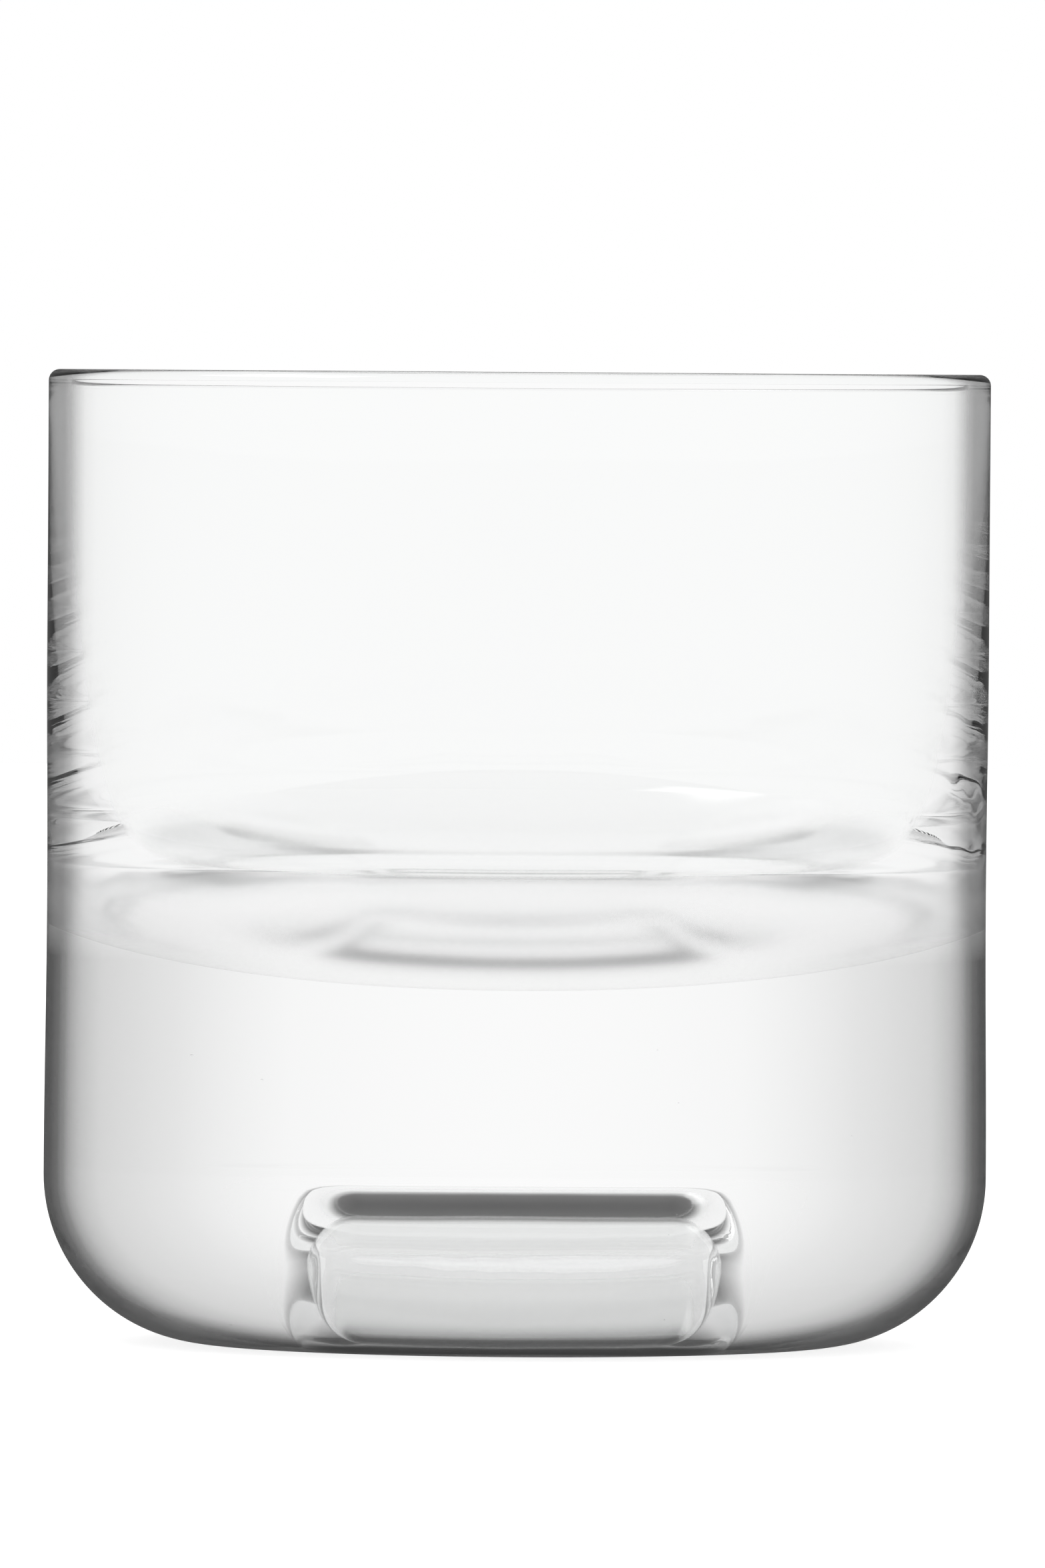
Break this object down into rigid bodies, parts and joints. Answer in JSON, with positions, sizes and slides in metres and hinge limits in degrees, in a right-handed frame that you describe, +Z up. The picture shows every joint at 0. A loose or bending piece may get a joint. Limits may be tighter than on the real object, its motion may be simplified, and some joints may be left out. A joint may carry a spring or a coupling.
{
  "type": "whiskey tumbler",
  "caption": "Straight-sided clear glass tumbler with a thick solid foot and a square hollow pressed up into the underside.",
  "frame": {"origin": "centre of the flat face that the glass stands on", "axes": "+Z up along the axis of the glass; +X and +Y square to the flats of the hollow in the foot"},
  "size_m": [0.09, 0.09, 0.0927],
  "materials": {
    "glass": "clear, fire-polished, hand-blown"
  },
  "bodies": {
    "root": {"glass_body": "glass"}
  },
  "joints": []
}
